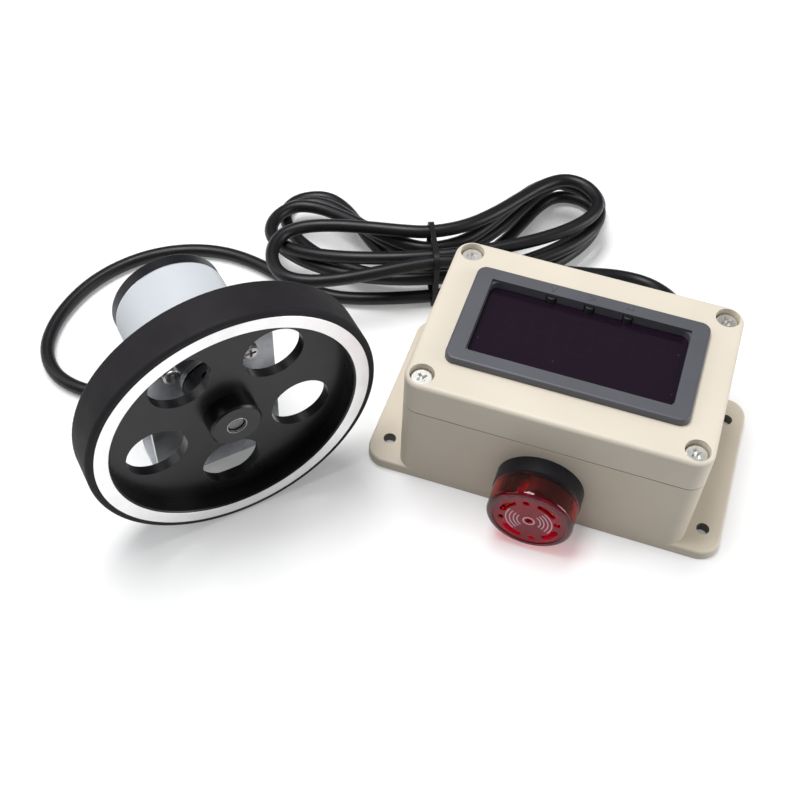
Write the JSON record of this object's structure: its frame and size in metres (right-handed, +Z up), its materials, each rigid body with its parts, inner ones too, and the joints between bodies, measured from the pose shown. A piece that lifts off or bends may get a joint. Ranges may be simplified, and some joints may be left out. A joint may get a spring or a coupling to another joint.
{
  "type": "cable length counter",
  "caption": "Measuring wheel on a rotary encoder with a bracket, cabled to a flanged display box with a sounder.",
  "frame": {"origin": "on the floor under the middle of the display box's base", "axes": "+X along the display box's long side, +Y from its sounder wall to its cable wall, +Z up"},
  "size_m": [0.2551, 0.2272, 0.0955],
  "materials": {
    "beige_plastic": "moulded ABS, fine matt grain",
    "cream_plastic": "moulded ABS, fine matt grain",
    "seal_rubber": "matt",
    "zinc_steel": "zinc plated",
    "grey_plastic": "satin",
    "smoked_acrylic": "polished, smoked purple",
    "digit_resin": "dark potting with tinted bars",
    "circuit_board": "solder mask",
    "black_plastic": "satin",
    "green_plastic": "satin",
    "red_lens": "clear red, polished",
    "brass_plate": "rolled",
    "black_casting": "black anodised, rim face turned bright",
    "tyre_rubber": "matt",
    "black_steel": "blackened",
    "bright_steel": "ground",
    "bright_aluminium": "turned",
    "galvanised_steel": "zinc coated sheet",
    "black_rubber": "satin",
    "cable_sheath": "satin",
    "tie_plastic": "satin"
  },
  "bodies": {
    "frame": {"enclosure_base": "beige_plastic", "enclosure_lid": "cream_plastic", "lid_gasket": "seal_rubber", "lid_screws": "zinc_steel", "panel_case": "grey_plastic", "display_window": "smoked_acrylic", "digit_blocks": "digit_resin", "display_board": "circuit_board", "button_switches": "black_plastic", "panel_back": "grey_plastic", "control_board": "circuit_board", "terminal_block": "green_plastic", "sounder_body": "black_plastic", "sounder_lens": "red_lens", "sounder_disc": "brass_plate", "sounder_nut": "black_plastic", "cable_gland": "black_plastic", "gland_dome": "black_plastic", "gland_nut": "black_plastic", "encoder_flange": "bright_aluminium", "front_bearing": "bright_steel", "rear_bearing": "bright_steel", "encoder_housing": "bright_aluminium", "encoder_cap": "black_plastic", "sensor_board": "circuit_board", "sensor_head": "black_plastic", "encoder_relief": "black_rubber", "encoder_bracket": "galvanised_steel", "bracket_screws": "zinc_steel", "encoder_cable": "cable_sheath", "cable_hank": "cable_sheath", "box_cable": "cable_sheath", "hank_tie": "tie_plastic"},
    "wheel": {"wheel_disc": "black_casting", "tyre": "tyre_rubber", "hub_screws": "black_steel", "encoder_shaft": "bright_steel", "front_bearing_race": "bright_steel", "rear_bearing_race": "bright_steel", "code_disc": "bright_steel"},
    "down_button_cap": {"down_button": "black_plastic"},
    "shift_button_cap": {"shift_button": "black_plastic"},
    "reset_button_cap": {"reset_button": "black_plastic"}
  },
  "joints": [
    {"name": "wheel_spin", "type": "hinge", "parent": "frame", "child": "wheel", "pos_m": [-0.09203, -0.06577, 0.04775], "axis": [0.7224, -0.6915, 0], "continuous": true},
    {"name": "down_press", "type": "slide", "parent": "frame", "child": "down_button_cap", "axis": [0, 0, -1], "range_m": [0, 0.0005], "stiffness_N_per_m": 1200, "springref_m": -0.0003},
    {"name": "shift_press", "type": "slide", "parent": "frame", "child": "shift_button_cap", "axis": [0, 0, -1], "range_m": [0, 0.0005], "stiffness_N_per_m": 1200, "springref_m": -0.0003},
    {"name": "reset_press", "type": "slide", "parent": "frame", "child": "reset_button_cap", "axis": [0, 0, -1], "range_m": [0, 0.0005], "stiffness_N_per_m": 1200, "springref_m": -0.0003}
  ]
}
